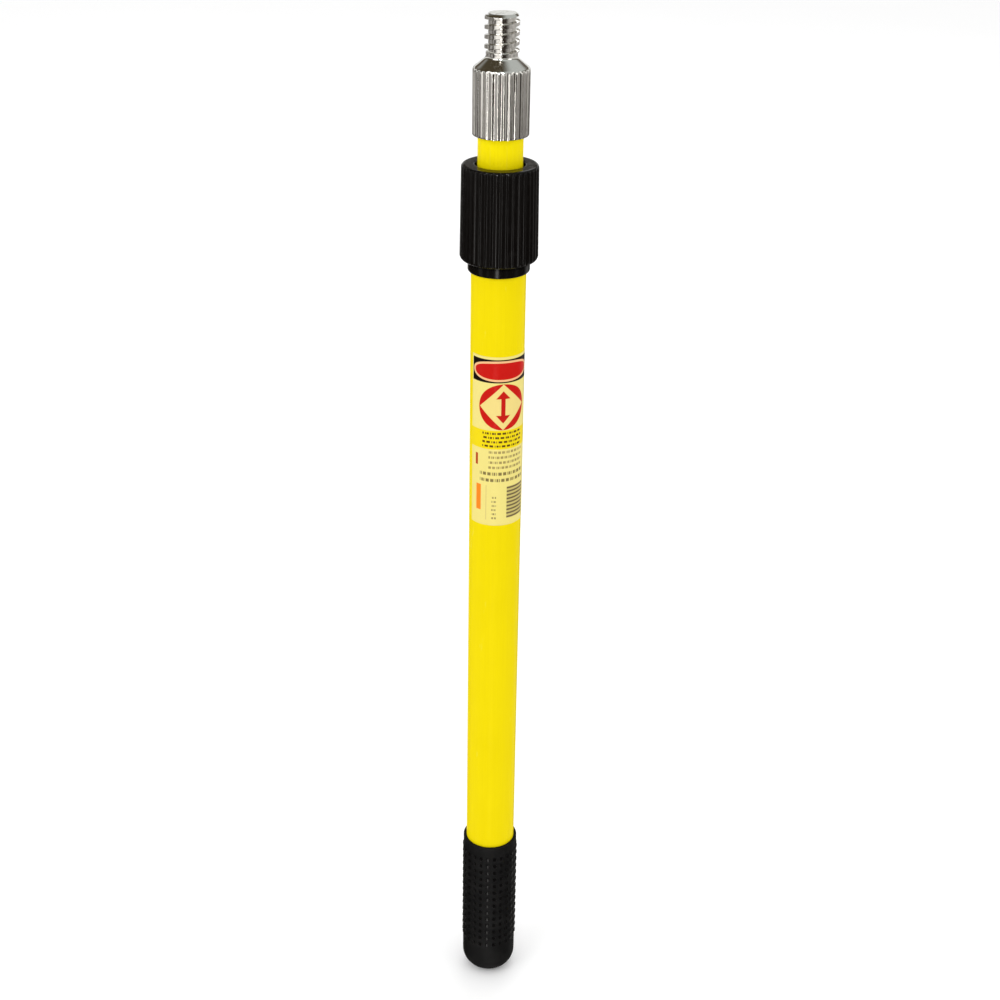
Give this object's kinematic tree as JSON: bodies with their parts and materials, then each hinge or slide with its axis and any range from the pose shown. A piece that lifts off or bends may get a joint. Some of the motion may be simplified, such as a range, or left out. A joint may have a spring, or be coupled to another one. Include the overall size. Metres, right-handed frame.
{
  "type": "roller extension pole",
  "caption": "Telescoping painter's extension pole with a twist-lock nut, a closed rubber hand grip and a metal threaded tip that takes a roller frame.",
  "frame": {"origin": "centre of the small flat on the closed end of the hand grip", "axes": "+Z runs along the pole, from the hand grip to the threaded tip; the label's middle faces near -Y"},
  "size_m": [0.0448, 0.0448, 0.651],
  "materials": {
    "tube_yellow": "smooth pigmented resin, gloss",
    "grip_rubber": "moulded, satin, with raised nubs",
    "lock_plastic": "moulded nylon, gloss",
    "bush_nylon": "moulded nylon, matt",
    "collet_acetal": "moulded acetal, satin",
    "tip_metal": "die-cast zinc, bright nickel plated",
    "pin_steel": "drawn wire, plated",
    "core_wood": "turned hardwood, bare",
    "label_film": "printed film, gloss"
  },
  "bodies": {
    "outer_section": {"outer_tube": "tube_yellow", "hand_grip": "grip_rubber", "butt_plug": "bush_nylon", "guide_bush": "bush_nylon", "lock_body": "lock_plastic", "lock_body_pins": "pin_steel", "clamp_collet": "collet_acetal", "label": "label_film"},
    "slip_ring": {"slip_ring": "collet_acetal"},
    "lock_nut": {"lock_nut": "lock_plastic", "nut_retaining_ring": "pin_steel"},
    "glide_ring": {"glide_ring": "collet_acetal"},
    "inner_section": {"inner_tube": "tube_yellow", "threaded_tip": "tip_metal", "tip_core": "core_wood", "tip_cross_pin": "pin_steel", "end_bush": "bush_nylon", "end_bush_pin": "pin_steel"}
  },
  "joints": [
    {"name": "nut_lift", "type": "slide", "parent": "outer_section", "child": "slip_ring", "axis": [0, 0, 1], "range_m": [0, 0.0045]},
    {"name": "nut_turn", "type": "hinge", "parent": "slip_ring", "child": "lock_nut", "pos_m": [0, 0, 0.55], "axis": [0, 0, 1], "range_deg": [0, 270]},
    {"name": "inner_slide", "type": "slide", "parent": "outer_section", "child": "glide_ring", "axis": [0, 0, 1], "range_m": [0, 0.475]},
    {"name": "inner_turn", "type": "hinge", "parent": "glide_ring", "child": "inner_section", "pos_m": [0, 0, 0.05], "axis": [0, 0, 1], "continuous": true}
  ],
  "couplings": [
    {"joint": "nut_lift", "follows": "nut_turn", "m_per_rad": 0.00095493}
  ]
}
